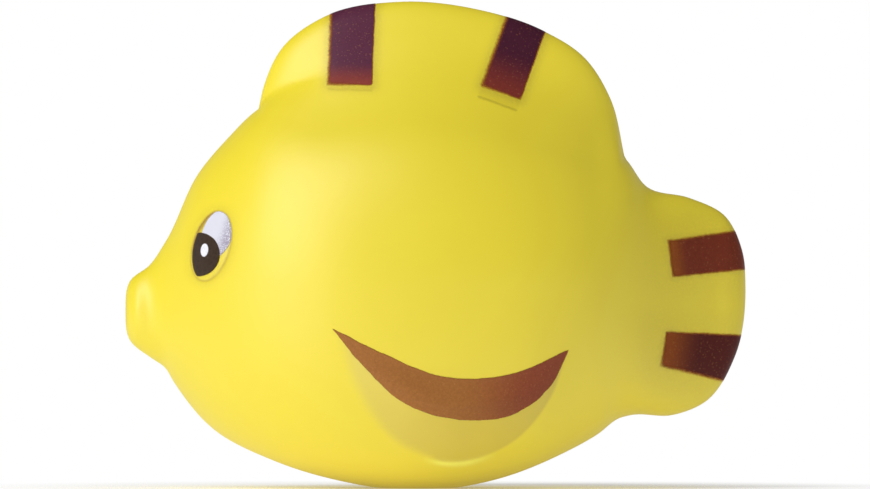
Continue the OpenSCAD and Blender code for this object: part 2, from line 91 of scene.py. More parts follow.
# Outline of the fish from the nose over the back to the tail, and along the belly to the nose again,
# as shares of its length and height
BACK_SHARES = (
    (0, 0.365), (0.007, 0.425), (0.039, 0.458), (0.064, 0.505), (0.12, 0.651), (0.165, 0.719),
    (0.2145, 0.779), (0.346, 0.818), (0.475, 0.83), (0.572, 0.812), (0.652, 0.779), (0.733, 0.735),
    (0.8055, 0.678), (0.842, 0.618), (0.91, 0.596), (0.967, 0.559), (0.994, 0.489))
BELLY_SHARES = (
    (1, 0.413), (0.982, 0.268), (0.937, 0.178), (0.882, 0.149), (0.815, 0.149), (0.797, 0.143),
    (0.762, 0.11), (0.7, 0.067), (0.604, 0.019), (0.459, 0), (0.346, 0.014), (0.24, 0.055),
    (0.14, 0.122), (0.078, 0.217), (0.0635, 0.247), (0.041, 0.267), (0.007, 0.303))
# Back fin: the points of the back that it starts and ends at, and its edge between them
FIN_FRONT = 6
FIN_REAR = 12
FIN_EDGE_SHARES = (
    (0.2235, 0.828), (0.252, 0.904), (0.322, 0.97), (0.443, 1), (0.572, 0.983), (0.669, 0.943),
    (0.741, 0.884), (0.782, 0.801))
# Half-breadth seen from above: place along the length, share of the snout, body or tail breadth
SNOUT_PLAN = ((0, 0), (0.005, 0.55), (0.016, 0.85), (0.04, 1))
BODY_PLAN = (
    (0.1, 0.41), (0.14, 0.57), (0.22, 0.79), (0.32, 0.94), (0.435, 1), (0.555, 0.985), (0.665, 0.905),
    (0.745, 0.765), (0.812, 0.555))
TAIL_PLAN = ((0.865, 1.85), (0.91, 1.2), (0.95, 0.76), (0.978, 0.54), (0.993, 0.32), (1, 0))
# Roundness of the section at places along the length: 2 is an ellipse, more is boxier
UPPER_POWER = ((0.05, 0.2, 0.75, 0.9), (2, 2, 2, 3))
LOWER_POWER = ((0.05, 0.3, 0.65, 0.75, 0.9), (2, 3, 3, 2.4, 3))
FLANK_CENTRE = (0.515, 0.514)

# Side fin: its front tip, then its upper edge and its lip as shares of its length and drop
SIDE_FIN_LENGTH = 32 * MM
SIDE_FIN_DROP = 18.4 * MM
SIDE_FIN_RISE = 2.4 * MM
SIDE_FIN_CROWN = 5.3 * MM
SIDE_FIN_SLOPE = 9 * MM
SIDE_FIN_TIP = (0.336, 0.328)
SIDE_FIN_TOP = ((0, 0), (0.22, 0.19), (0.475, 0.355), (0.755, 0.336), (1, 0.157))
SIDE_FIN_LIP = (
    (0, 0), (0.077, 0.45), (0.26, 0.866), (0.52, 1), (0.777, 0.836), (0.94, 0.485), (1, 0.157))
# Lower edge of the crescent of paint under the side fin's upper edge
CRESCENT_LOW = (
    (0, 0), (0.126, 0.264), (0.3, 0.54), (0.537, 0.667), (0.776, 0.62), (0.924, 0.421), (1, 0.157))
# Lip at places along it: how crisply the underside starts there, and how much of its bead stands
LIP_PLACES = (0, 0.38, 0.46, 0.58, 0.7, 1)
LIP_CRISP = (0, 0, 0, 0.1, 0.6, 0.6)
LIP_BEAD = (0, 0, 1, 1, 0, 0)
BEAD_HEIGHT = 0.3 * MM
BEAD_WIDTH = 0.4 * MM

# Moulded eye: its centre, half-sizes, lean, bulge and the groove round it
EYE_CENTRE = (0.1405, 0.497)
EYE_HALF_WIDTH = 2.55 * MM
EYE_HALF_HEIGHT = 4.9 * MM
EYE_LEAN = 16
EYE_BULGE = 0.45 * MM
GROOVE_DEPTH = 0.1 * MM
GROOVE_WIDTH = 0.16 * MM

# Paint films and how they lie
FILM_LIFT = 0.03 * MM
FILM_THICK = 0.02 * MM
STRIPE_MARGIN = 1.2 * MM
END_MARGIN = 2.4 * MM
CRESCENT_MARGIN = 0.7 * MM
SPOT_MARGIN = 0.3 * MM
CRESCENT_LAYER = 2

# Marks on the skin: mist by its strength and spread; painted shade, a painted highlight and a painted glint
# by their strength
STRIPE_MIST = (0.3, 0.9 * MM)
# Over the tail a broad brown mist: painted shade that darkens the whole tail
TAIL_SHADE = (0.13, 5 * MM)
# Round the eye: paint mist and painted shade round its bulge together
EYE_MIST_AND_SHADE = (0.14, 0.9 * MM)
# Painted shade round the eye: darker in its groove, and in a band inside its upper front
GROOVE_SHADE = 0.4
BAND_SHADE = 0.85
BAND_WIDTH = 0.8 * MM
BAND_WAY = (-0.8, 0.6)
# Painted glint: a pale line along the side fin's lip
LIP_GLINT_SHARE = 0.9
# Under the side fin: how each mark fades along it, and how far in mm from the lip it takes to start
# Painted highlight: a pale tone on the side fin's underside, strongest at its front
FIN_HIGHLIGHT = 0.28
FIN_HIGHLIGHT_FADE = ((0, 0.25, 0.45, 0.65, 0.85), (1, 0.9, 0.5, 0.15, 0.3))
# Painted shade under the side fin's ledge
FIN_SHADE = 0.27
FIN_SHADE_FADE = ((0.1, 0.55), (0.3, 1))
MARK_START = (2.2, 1.5, 0.5, 0.5, 0.5, 0.5)

# Scales of the surface detail, in repeats per metre
CLOUD_SCALE = 90
SATIN_SCALE = 700
PEEL_SCALE = 1800
SPECK_SCALE = 130
WOBBLE_SCALE = 550
GRIT_SCALE = 3500
GRAIN_SCALE = 3000
DOT_SCALE = 5500
PORE_SCALE = 4200
MOULD_CLOUD_SCALE = 400
MOULD_SATIN_SCALE = 2500
MOULD_GRAIN_SCALE = 6000
FLOOR_SCALE = 30

# Finish of the vinyl, the paint and the squeaker's plastic
NOISE_RANGE = (0.3, 0.7)
GRAIN_RANGE = (0.25, 0.75)
GRAIN_DETAIL = 0.7
PEEL_STRENGTH = 0.05
PEEL_HEIGHT = 0.02 * MM
SPECK_RARITY = 0.994
SPECK_SIZE = 0.03
SPECK_SHARE = 0.6
MIST_GRIT = (0.2, 0.6, 0.5)
GRIT_SHARE = 0.6
FRINGE_RANGE = (0.3, 1)
PORE_RANGE = (0.64, 0.74, 0.0, 0.2)
VINYL_ROUGHNESS = (0.45, 0.46)
PAINT_ROUGHNESS = (0.42, 0.5)
PUPIL_ROUGHNESS = (0.32, 0.4)
GLINT_ROUGHNESS = (0.3, 0.4)
CREAM_ROUGHNESS = (0.38, 0.48)
REED_ROUGHNESS = (0.3, 0.4)
VINYL_IOR = 1.85
PAINT_IOR = 1.3
MOULD_BUMP = 0.1
MOULD_BUMP_HEIGHT = 0.02 * MM
# Softness and wobble in mm of the edges of the eye's paints, and where grey dots lie on the white
EYE_WHITE_SPRAY = (0.07, 0.15)
PUPIL_SPRAY = (0.06, 0.06)
GLINT_SPRAY = (0.05, 0.05)
DOT_SIDE = (-0.1, 0.7)
DOT_RANGE = (0.62, 0.5)
# Line that the spray mask left before a stripe: width and softness in mm, strength per mm of its distance
MASK_LINE_WIDTH = 0.3
MASK_SOFT = 0.25
MASK_LINE_SHARE = 0.06
MASK_STAIN_SHARE = 0.014
MASK_SIDE = (1.1, 0.95)
MASK_COVER = (0.02, 0.1)

# Fineness of the meshes
SPAN_STEPS = 16
RAYS = 360
RINGS = 72
CREASE_RING = 0.62
CREASE_LIMIT = 0.82
FINE_CUTS = 3
FINE_REACH = 0.9 * MM
FINE_LIP_FROM = 0.2
PROBE = 0.2 * MM
SMOOTH_ANGLE = 40
CUTTER_SIDES = 96
STRIPE_GRID = (40, 80)
CRESCENT_GRID = (160, 32)
SPOT_GRID = (40, 40)
TINY = 1e-6
SLACK = 1e-3
PARALLEL = 1e-15

# Studio: the photo's frame in pixels, the lens and the sensor in mm, the lamp in metres and degrees
PHOTO_WIDTH = 870
PHOTO_HEIGHT = 489
FISH_LEFT = 125.5
FISH_BOTTOM = 487.5
FISH_PIXELS = 620
LENS = 700
SENSOR = 36
CLIP_START = 0.01
CLIP_END = 20
LAMP_AZIMUTH = 48
LAMP_ELEVATION = 32
LAMP_DISTANCE = 0.4
LAMP_WIDTH = 0.17
LAMP_HEIGHT = 0.5
LAMP_RADIANCE = 3.8
AMBIENT = 0.48
ROOM_DARK = 0.05
BACKDROP_SHINE = 0.4
BACKDROP_BACK = (-0.1, 0.2)
BACKDROP_TOP = (0.5, 0.2)
FLOOR_SIZE = 6
FLOOR_DROP = 0.05 * MM
FLOOR_TONE = (0.92, 0.94)
FLOOR_ROUGHNESS = 0.9
FLOOR_SPECULAR = 0.1
FLOOR_GLOW = 0.17
FLOOR_WHITE = (0.03, 0.08)


def linear(red, green, blue):
    """Linear colour, with full opacity, from the eight-bit values of a screen."""
    values = [v / 255 for v in (red, green, blue)]
    return tuple(v / 12.92 if v < 0.04045 else ((v + 0.055) / 1.055) ** 2.4 for v in values) + (1.0,)


# Colours
WHITE = (1, 1, 1, 1)
VINYL_PALE = (0.9, 0.735, 0.008, 1)
VINYL_DEEP = (0.893, 0.726, 0.0078, 1)
SPECK_BROWN = linear(120, 90, 30)
MIST_BROWN = linear(110, 80, 30)
# Tone of the painted shade round the eye and under the side fin
SHADE_BROWN = linear(150, 105, 30)
FRINGE_BROWN = linear(168, 86, 28)
PORE_PALE = linear(205, 145, 90)
# Tone of the painted highlight under the side fin
HIGHLIGHT_PALE = linear(205, 187, 122)
# Tone of the painted glint along the side fin's lip
LIP_GLINT_PALE = (1, 0.95, 0.12, 1)
GRAIN_SHADE = (0.8, 0.78, 0.78, 1)
EYE_WHITE = linear(216, 216, 228)
EYE_GREY = linear(160, 152, 172)
GLINT_WHITE = linear(245, 245, 250)
PUPIL_DARK = linear(50, 38, 28)
PUPIL_BROWN = linear(68, 52, 40)
PUPIL_EDGE = linear(110, 78, 36)
CREAM_PALE = linear(236, 230, 212)
CREAM_DEEP = linear(226, 218, 196)
REED_PALE = linear(230, 230, 226)
REED_DEEP = linear(216, 216, 210)

# Each band of paint: its inner end, its way to the rim in degrees, its width in mm and how much it widens,
# its colour at the inner end and further on, the run in mm between them, the softness of its two sides,
# wobble and mask line in mm
STRIPES = {
    "front_dorsal_stripe": (
        (0.363, 0.829), 88, 5.9, 0, (144, 60, 50), (94, 40, 65), 3.2, (0.42, 0.16), 0.25, 0.75),
    "rear_dorsal_stripe": (
        (0.606, 0.813), 70, 5.5, 0, (132, 50, 40), (76, 25, 47), 6, (0.46, 0.2), 0.25, 1.65),
    "upper_tail_stripe": (
        (0.879, 0.471), 7, 4.8, 0.02, (154, 80, 19), (123, 49, 27), 2.5, (0.36, 0.3), 0.25, None),
    "lower_tail_stripe": (
        (0.868, 0.286), -8, 4.5, 0.1, (148, 71, 8), (87, 25, 18), 5, (0.3, 0.42), 0.25, None),
}
TAIL_STRIPES = ("upper_tail_stripe", "lower_tail_stripe")
# The crescent: colours at its front and rear, where along it they blend, softness and wobble in mm
CRESCENT = ((170, 110, 54), (148, 74, 47), (0.5, 0.85), (0.07, 0.12), 0.3)
# Each spot of an eye: its centre, width and height in mm, lean in degrees, inset from the rim in mm, layer
SPOTS = {
    "eye_white": ((0.15, 0.5215), 4.1, 6.9, 20, 0.05, 1),
    "pupil": ((0.1207, 0.4798), 5.7, 5.9, 12, 0.2, 2),
    "glint": ((0.13, 0.4885), 1.02, 1.78, 6, 0, 3),
}


# Curves through given points
def unit(v):
    return v / np.linalg.norm(v)


def turn_at(a, b, c):
    before = np.linalg.norm(b - a)
    after = np.linalg.norm(c - b)
    return (unit(b - a) * after + unit(c - b) * before) / (before + after)


def span(a, b, c, d):
    t = (np.arange(SPAN_STEPS) / SPAN_STEPS)[:, None]
    reach = np.linalg.norm(c - b)
    leave = turn_at(a, b, c) * reach
    arrive = turn_at(b, c, d) * reach
    return (b * (1 + t * t * (2 * t - 3)) + leave * (t * (1 - t) ** 2)
            + c * (t * t * (3 - 2 * t)) - arrive * (t * t * (1 - t)))


def loop_curve(points):
    ring = np.vstack([points[-1:], points, points[:2]])
    return np.vstack([span(*ring[i:i + 4]) for i in range(len(points))])


def open_curve(points):
    p = np.vstack([2 * points[0] - points[1], points, 2 * points[-1] - points[-2]])
    return np.vstack([span(*p[i:i + 4]) for i in range(len(points) - 1)] + [points[-1:]])


def level(curve, x):
    """Height of an open curve, or its breadth in plan, at places along the length."""
    return np.interp(x, curve[:, 0], curve[:, 1])


def smooth(t):
    t = np.clip(t, 0, 1)
    return t * t * (3 - 2 * t)


def bell(t):
    return np.exp(-t ** 2)


def heading(angle):
    return np.array((math.cos(math.radians(angle)), math.sin(math.radians(angle))))


def placed(shares):
    s = np.array(shares, float).reshape(-1, 2)
    z = np.where(s[:, 1] > 0, s[:, 1] * HEIGHT, -BELLY_CUT)
    return np.stack([(s[:, 0] - 0.5) * LENGTH, z], axis=1)


body_points = placed(BACK_SHARES + BELLY_SHARES)
body_loop = loop_curve(body_points)
fin_curve = open_curve(np.vstack([body_points[FIN_FRONT], placed(FIN_EDGE_SHARES), body_points[FIN_REAR]]))
outline = np.vstack([body_loop[:FIN_FRONT * SPAN_STEPS], fin_curve[:-1], body_loop[FIN_REAR * SPAN_STEPS:]])
tail_tip = len(BACK_SHARES) * SPAN_STEPS
back_line = body_loop[:tail_tip + 1]
belly_line = np.vstack([body_loop[:1], body_loop[tail_tip:][::-1]])
plan_line = open_curve(np.array(
    [((s - 0.5) * LENGTH, share * SNOUT_WIDTH / 2) for s, share in SNOUT_PLAN]
    + [((s - 0.5) * LENGTH, share * HALF_BREADTH) for s, share in BODY_PLAN]
    + [((s - 0.5) * LENGTH, share * TAIL_THICK / 2) for s, share in TAIL_PLAN]))
centre = placed(FLANK_CENTRE)[0]
eye_centre = placed(EYE_CENTRE)[0]
fin_tip = placed(SIDE_FIN_TIP)[0]
fin_reach = np.array((SIDE_FIN_LENGTH, -SIDE_FIN_DROP))
fin_top = open_curve(fin_tip + np.array(SIDE_FIN_TOP) * fin_reach)
fin_lip = open_curve(fin_tip + np.array(SIDE_FIN_LIP) * fin_reach)
paint_low = open_curve(fin_tip + np.array(CRESCENT_LOW) * fin_reach)


# Half-width of the fish over points of its side view
def distance_to(curve, x, z):
    best = np.full(x.shape, np.inf)
    for (ax, az), (bx, bz) in zip(curve[:-1], curve[1:]):
        dx, dz = bx - ax, bz - az
        along = np.clip(((x - ax) * dx + (z - az) * dz) / (dx * dx + dz * dz), 0, 1)
        best = np.minimum(best, np.hypot(x - ax - dx * along, z - az - dz * along))
    return best


def fin_run(x):
    return (x - fin_curve[0, 0]) / (fin_curve[-1, 0] - fin_curve[0, 0])


def eased(place, places, values):
    """Value between the nearest two of a table, without a kink at its places."""
    places, values = np.array(places), np.array(values)
    i = np.clip(np.searchsorted(places, place) - 1, 0, len(places) - 2)
    share = (place - places[i]) / (places[i + 1] - places[i])
    return values[i] + (values[i + 1] - values[i]) * smooth(share)


def section_share(off, height, reach, power):
    """Share of the width at an offset from the middle line: a reach beyond the height draws the top out."""
    hold = FIN_HOLD * height
    rest = np.clip((reach - off) / (reach - hold), 0, 1) ** ((reach - hold) / (height - hold))
    sunk = np.where(off > hold, height - (height - hold) * rest, off)
    return np.maximum(1 - (sunk / height) ** power, 0) ** (1 / power)


def body_width(x, z):
    back = level(back_line, x)
    middle = (back + level(belly_line, x)) / 2
    height = np.maximum(back - middle, PROBE)
    upper = z > middle
    off = np.abs(z - middle)
    place = x / LENGTH + 0.5
    run = fin_run(x)
    power = np.where(upper, eased(place, *UPPER_POWER), eased(place, *LOWER_POWER))
    above = np.maximum(level(fin_curve, x) - back, 0) * smooth((1 - run) / FIN_FALL)
    above = np.where(upper & (run > 0), above, 0)
    plain = section_share(off, height, height + above * FIN_LOW, power)
    finned = section_share(off, height, height + above, power)
    share = plain + (finned - plain) * smooth(run / FIN_SWELL)
    return np.maximum(level(plan_line, x), 0) * share


def back_fin_width(x, z):
    bare = np.maximum(0, 1 - distance_to(fin_curve, x, z) / BACK_FIN_ROUND)
    run = fin_run(x)
    sunk = np.maximum(0, level(back_line, x) - z) / BACK_FIN_ROOT
    ends = smooth(np.minimum(run, 1 - run) / FIN_NOTCH + 1 - sunk / FIN_NOTCH_DEPTH)
    thick = BACK_FIN_THICK / 2 * (1 - (1 - BACK_FIN_REAR) * smooth(run))
    under = (z > centre[1]) & (run > 0) & (run < 1)
    return np.where(under, thick * np.sqrt(1 - bare * bare) * ends * (1 - smooth(sunk)), 0)


def half_width(x, z):
    return (body_width(x, z) ** CREASE_POWER + back_fin_width(x, z) ** CREASE_POWER) ** (1 / CREASE_POWER)


# Moulded relief on the flanks
def side_fin_places(x, z):
    along = np.clip((x - fin_tip[0]) / SIDE_FIN_LENGTH, 0, 1)
    between = (z < level(fin_top, x)) & (z > level(fin_lip, x))
    inside = between & (along > 0) & (along < 1)
    return along, inside, distance_to(fin_lip, x, z), distance_to(fin_top, x, z)


def bead_share(along, to_lip):
    return bell(to_lip / BEAD_WIDTH) * np.interp(along, LIP_PLACES, LIP_BEAD)


def side_fin_relief(x, z):
    """Ledge with a scooped underside that starts at the lip, and a fine bead on the lip."""
    along, inside, to_lip, to_top = side_fin_places(x, z)
    rise = np.clip(to_lip / SIDE_FIN_SLOPE, 0, 1)
    crisp = np.interp(along, LIP_PLACES, LIP_CRISP)
    slope = rise ** 2 * (2 - rise ** 2) * (1 - crisp) + (1 - (1 - rise) ** 2) * crisp
    ledge = np.where(inside, SIDE_FIN_RISE * slope * smooth(to_top / SIDE_FIN_CROWN), 0)
    return ledge + BEAD_HEIGHT * bead_share(along, to_lip)


def oval_distance(x, z, middle, half_across, half_up, lean):
    """Distance outside a leaning oval, less than 0 inside it, and the share of the way out to its rim."""
    turn = math.radians(lean)
    dx, dz = x - middle[0], z - middle[1]
    u = (dx * math.cos(turn) - dz * math.sin(turn)) / half_across
    v = (dx * math.sin(turn) + dz * math.cos(turn)) / half_up
    q = np.hypot(u, v) + TINY
    return q * (q - 1) / (np.hypot(u / half_across, v / half_up) + SLACK), q


def eye_places(x, z):
    return oval_distance(x, z, eye_centre, EYE_HALF_WIDTH, EYE_HALF_HEIGHT, EYE_LEAN)


def eye_relief(x, z):
    off, q = eye_places(x, z)
    return EYE_BULGE * np.maximum(0, 1 - q * q) - GROOVE_DEPTH * bell(off / GROOVE_WIDTH)


def skin_width(x, z):
    return half_width(x, z) + side_fin_relief(x, z) + eye_relief(x, z)


def hollow_width(x, z):
    slope_x = (half_width(x + PROBE, z) - half_width(x - PROBE, z)) / (2 * PROBE)
    slope_z = (half_width(x, z + PROBE) - half_width(x, z - PROBE)) / (2 * PROBE)
    return np.maximum(LEAST_HOLLOW, half_width(x, z) - WALL * np.sqrt(1 + slope_x ** 2 + slope_z ** 2))


# Rays from the middle of the flank to the outline
def reach_to(loop, start, way):
    """Length of the ray from each start, along its way, to the nearest edge of a loop."""
    edge = np.roll(loop, -1, axis=0) - loop
    off = loop[None] - start[:, None]
    turn = way[:, None, 0] * edge[None, :, 1] - way[:, None, 1] * edge[None, :, 0]
    turn = np.where(np.abs(turn) < PARALLEL, PARALLEL, turn)
    ahead = (off[..., 0] * edge[None, :, 1] - off[..., 1] * edge[None, :, 0]) / turn
    along = (off[..., 0] * way[:, None, 1] - off[..., 1] * way[:, None, 0]) / turn
    met = (ahead > 0) & (along > -SLACK) & (along < 1 + SLACK)
    return np.min(np.where(met, ahead, np.inf), axis=1)


closed_outline = np.vstack([outline, outline[:1]])
outline_run = np.concatenate([[0], np.cumsum(np.linalg.norm(np.diff(closed_outline, axis=0), axis=1))])
outline_run = outline_run / outline_run[-1]


def outline_at(share):
    return np.stack([np.interp(share, outline_run, closed_outline[:, 0]),
                     np.interp(share, outline_run, closed_outline[:, 1])], axis=1)


ray_shares = np.arange(2 * RAYS + 1) / (2 * RAYS)
ray_rims = outline_at(ray_shares)
ray_lengths = np.linalg.norm(ray_rims - centre, axis=1)
ray_ways = (ray_rims - centre) / ray_lengths[:, None]
ray_starts = np.repeat(centre[None], len(ray_ways), axis=0)
crease_shares = np.minimum(CREASE_LIMIT, reach_to(body_loop, ray_starts, ray_ways) / ray_lengths)


# The skin
def skin_points(co):
    """Places on one half of the fish for points of a unit ball, whose lower half becomes the hollow."""
    share = np.arctan2(co[:, 1], co[:, 0]) / (2 * math.pi) % 1
    fall = np.arccos(np.clip(co[:, 2] / np.linalg.norm(co, axis=1), -1, 1)) / (math.pi / 2)
    rim = outline_at(share)
    crease = np.interp(share, ray_shares, crease_shares)
    rest = np.clip((fall - CREASE_RING) / (1 - CREASE_RING), 0, 1)
    past_crease = crease + (1 - crease) * (1 - (1 - rest) ** 2)
    ring = np.where(fall < CREASE_RING, crease * fall / CREASE_RING, past_crease)
    skin = centre + (rim - centre) * ring[:, None]
    core = rim - (rim - centre) / np.linalg.norm(rim - centre, axis=1)[:, None] * RIM_WALL
    inner_ring = np.clip((2 - fall) * RINGS / (RINGS - 1), 0, 1)
    hollow = centre + (core - centre) * inner_ring[:, None]
    outer = fall < 1 + 0.5 / RINGS
    place = np.where(outer[:, None], skin, hollow)
    x, z = place[:, 0], place[:, 1]
    outer_y = np.where(fall > 1 - TINY, 0, skin_width(x, z))
    inner_y = np.where(inner_ring > 1 - TINY, 0, hollow_width(x, z))
    return np.stack([x, np.where(outer, outer_y, inner_y), np.maximum(z, 0)], axis=1), outer


def vertex_array(bm):
    return np.array([v.co for v in bm.verts], float)


def refine_details(bm):
    places, outer = skin_points(vertex_array(bm))
    x, z = places[:, 0], places[:, 2]
    off, _ = eye_places(x, z)
    along, _, to_lip, to_top = side_fin_places(x, z)
    by_lip = (to_lip < FINE_REACH) & (along > FINE_LIP_FROM)
    by_top = (to_top < FINE_REACH) & (along > 0)
    near = outer & ((off < FINE_REACH) | by_lip | by_top)
    bm.verts.index_update()
    edges = [e for e in bm.edges if near[e.verts[0].index] and near[e.verts[1].index]]
    bmesh.ops.subdivide_edges(bm, edges=edges, cuts=FINE_CUTS, use_grid_fill=True)


def new_object(name, bm):
    mesh = bpy.data.meshes.new(name)
    bm.to_mesh(mesh)
    bm.free()
    mesh.shade_smooth()
    mesh.set_sharp_from_angle(angle=math.radians(SMOOTH_ANGLE))
    obj = bpy.data.objects.new(name, mesh)
    bpy.context.scene.collection.objects.link(obj)
    return obj


def cylinder_cutter(radius, low, high):
    bm = bmesh.new()
    bmesh.ops.create_cone(
        bm, cap_ends=True, segments=CUTTER_SIDES, radius1=radius, radius2=radius, depth=high - low,
        matrix=Matrix.Translation((SQUEAKER_X, 0, (low + high) / 2)))
    return new_object("cutter", bm)


def carve(obj, cutter):
    cut = obj.modifiers.new("carve", "BOOLEAN")
    cut.operation = "DIFFERENCE"
    cut.solver = "EXACT"
    cut.object = cutter
    graph = bpy.context.evaluated_depsgraph_get()
    mesh = bpy.data.meshes.new_from_object(obj.evaluated_get(graph))
    obj.modifiers.clear()
    obj.data = mesh
    bpy.data.objects.remove(cutter)


def left_half(name):
    bm = bmesh.new()
    bmesh.ops.create_uvsphere(bm, u_segments=RAYS, v_segments=2 * RINGS, radius=1)
    refine_details(bm)
    places, _ = skin_points(vertex_array(bm))
    for v, p in zip(bm.verts, places):
        v.co = (p[0], -p[1], p[2])
    bmesh.ops.recalc_face_normals(bm, faces=bm.faces[:])
    obj = new_object(name, bm)
    carve(obj, cylinder_cutter(FLANGE_RADIUS + POCKET_GAP, -POCKET_DEPTH, POCKET_DEPTH))
    carve(obj, cylinder_cutter(NECK_RADIUS, 0, 2 * RIM_WALL))
    return obj


def right_half(name, left):
    bm = bmesh.new()
    bm.from_mesh(left.data)
    bmesh.ops.scale(bm, vec=(1, -1, 1), verts=bm.verts[:])
    bmesh.ops.reverse_faces(bm, faces=bm.faces[:])
    return new_object(name, bm)


# Paint films: grids laid a hair above the skin and given a little thickness
def film(name, columns, rows, lay, side=-1, lift=FILM_LIFT):
    bm = bmesh.new()
    bmesh.ops.create_grid(bm, x_segments=columns, y_segments=rows, size=1)
    grid = vertex_array(bm)
    points, marks = lay(grid[:, 0], grid[:, 1])
    layers = {key: bm.verts.layers.float.new(key) for key in marks}
    for i, v in enumerate(bm.verts):
        x, y, z = points[i]
        v.co = (x, -side * y, z)
        for key, layer in layers.items():
            v[layer] = marks[key][i]
    middle = Vector((centre[0], 0, centre[1]))
    bm.normal_update()
    if sum(f.normal.dot(f.calc_center_median() - middle) for f in bm.faces) < 0:
        bmesh.ops.reverse_faces(bm, faces=bm.faces[:])
    bm.normal_update()
    for v, normal in zip(bm.verts, [v.normal.copy() for v in bm.verts]):
        v.co += normal * lift
    bmesh.ops.solidify(bm, geom=bm.faces[:], thickness=FILM_THICK)
    bmesh.ops.recalc_face_normals(bm, faces=bm.faces[:])
    return new_object(name, bm)


def on_left(p):
    return np.stack([p[:, 0], -skin_width(p[:, 0], p[:, 1]), p[:, 1]], axis=1)


def stripe_lay(share, angle, width, growth):
    """Band that runs from its inner end over the rim to the other side."""
    start = placed(share)[0]
    way = heading(angle)
    beside = np.array((way[1], -way[0]))

    def lay(across, along):
        offset = across * (width / 2 + STRIPE_MARGIN)
        inner = start + beside * offset[:, None] - way * END_MARGIN
        ways = np.repeat(way[None], len(inner), axis=0)
        rim = inner + way * reach_to(outline, inner, ways)[:, None]
        p = rim + (inner - rim) * (along ** 2)[:, None]
        run = (p - start) @ way
        y = np.sign(along) * skin_width(p[:, 0], p[:, 1])
        points = np.stack([p[:, 0], y, p[:, 1]], axis=1)
        edge = np.minimum(width / 2 + growth * run - np.abs(offset), run)
        return points, {"edge": edge / MM, "run": run / MM, "offset": offset / (width / 2)}
    return lay


def spot_lay(share, width, height, lean, inset):
    """Oval spot on the left side, kept inside the eye's rim."""
    middle = placed(share)[0]
    turn = math.radians(lean)
    right = np.array((math.cos(turn), -math.sin(turn))) * (width / 2 + SPOT_MARGIN)
    up = np.array((math.sin(turn), math.cos(turn))) * (height / 2 + SPOT_MARGIN)

    def lay(across, along):
        u = across * np.sqrt(1 - along ** 2 / 2)
        v = along * np.sqrt(1 - across ** 2 / 2)
        p = middle + right * u[:, None] + up * v[:, None]
        rim, _ = eye_places(p[:, 0], p[:, 1])
        oval, _ = oval_distance(p[:, 0], p[:, 1], middle, width / 2, height / 2, lean)
        edge = -np.maximum(oval, rim + inset)
        return on_left(p), {"edge": edge / MM, "run": u, "offset": v}
    return lay


def crescent_lay(across, along):
    """Upper part of the side fin, from tip to tip, and a margin round it."""
    x = fin_tip[0] + SIDE_FIN_LENGTH / 2 + across * (SIDE_FIN_LENGTH / 2 + CRESCENT_MARGIN)
    top = level(fin_top, x)
    low = level(paint_low, x)
    z = (top + low) / 2 + along * ((top - low) / 2 + CRESCENT_MARGIN)
    inside = (z < top) & (z > low)
    off = np.minimum(distance_to(fin_top, x, z), distance_to(paint_low, x, z))
    edge = np.where(inside, off, -off)
    return on_left(np.stack([x, z], axis=1)), {"edge": edge / MM, "run": (across + 1) / 2, "offset": along}


# Shader nodes
def make(tree, kind, settings=None, **inputs):
    """New node, with inputs by their name, or as i and their number."""
    new = tree.nodes.new(kind)
    for key, value in (settings or {}).items():
        setattr(new, key, value)
    for key, value in inputs.items():
        socket = new.inputs[int(key[1:])] if key[1:].isdigit() else new.inputs[key.replace("_", " ")]
        if isinstance(value, bpy.types.NodeSocket):
            tree.links.new(value, socket)
        else:
            socket.default_value = value
    return new


def maths(tree, operation, a, b=0.0):
    return make(tree, "ShaderNodeMath", {"operation": operation}, i0=a, i1=b).outputs[0]


def ranged(tree, value, low, high, to_low=0.0, to_high=1.0):
    new = make(tree, "ShaderNodeMapRange", {"interpolation_type": "SMOOTHSTEP"}, Value=value, From_Min=low,
               From_Max=high, To_Min=to_low, To_Max=to_high)
    return new.outputs[0]


def mixed(tree, factor, a, b, blend="MIX"):
    new = make(tree, "ShaderNodeMix", {"data_type": "RGBA", "blend_type": blend}, i0=factor, i6=a, i7=b)
    return new.outputs[2]


def between(tree, factor, a, b):
    return make(tree, "ShaderNodeMix", {"data_type": "FLOAT"}, i0=factor, i2=a, i3=b).outputs[0]


def noise(tree, scale, detail=2.0, roughness=0.5):
    place = make(tree, "ShaderNodeTexCoord").outputs["Object"]
    new = make(tree, "ShaderNodeTexNoise", Vector=place, Scale=scale, Detail=detail, Roughness=roughness)
    return new.outputs[0]


def centred_noise(tree, scale, detail):
    return maths(tree, "SUBTRACT", noise(tree, scale, detail), 0.5)


def mark(tree, name):
    return make(tree, "ShaderNodeAttribute", {"attribute_name": name}).outputs["Fac"]


def new_group(name, inputs, outputs):
    tree = bpy.data.node_groups.new(name, "ShaderNodeTree")
    for label, kind in inputs:
        tree.interface.new_socket(label, in_out="INPUT", socket_type=kind)
    for label, kind in outputs:
        tree.interface.new_socket(label, in_out="OUTPUT", socket_type=kind)
    return tree, tree.nodes.new("NodeGroupInput").outputs, tree.nodes.new("NodeGroupOutput").inputs


def place_group(tree, group, **inputs):
    return make(tree, "ShaderNodeGroup", {"node_tree": group}, **inputs).outputs


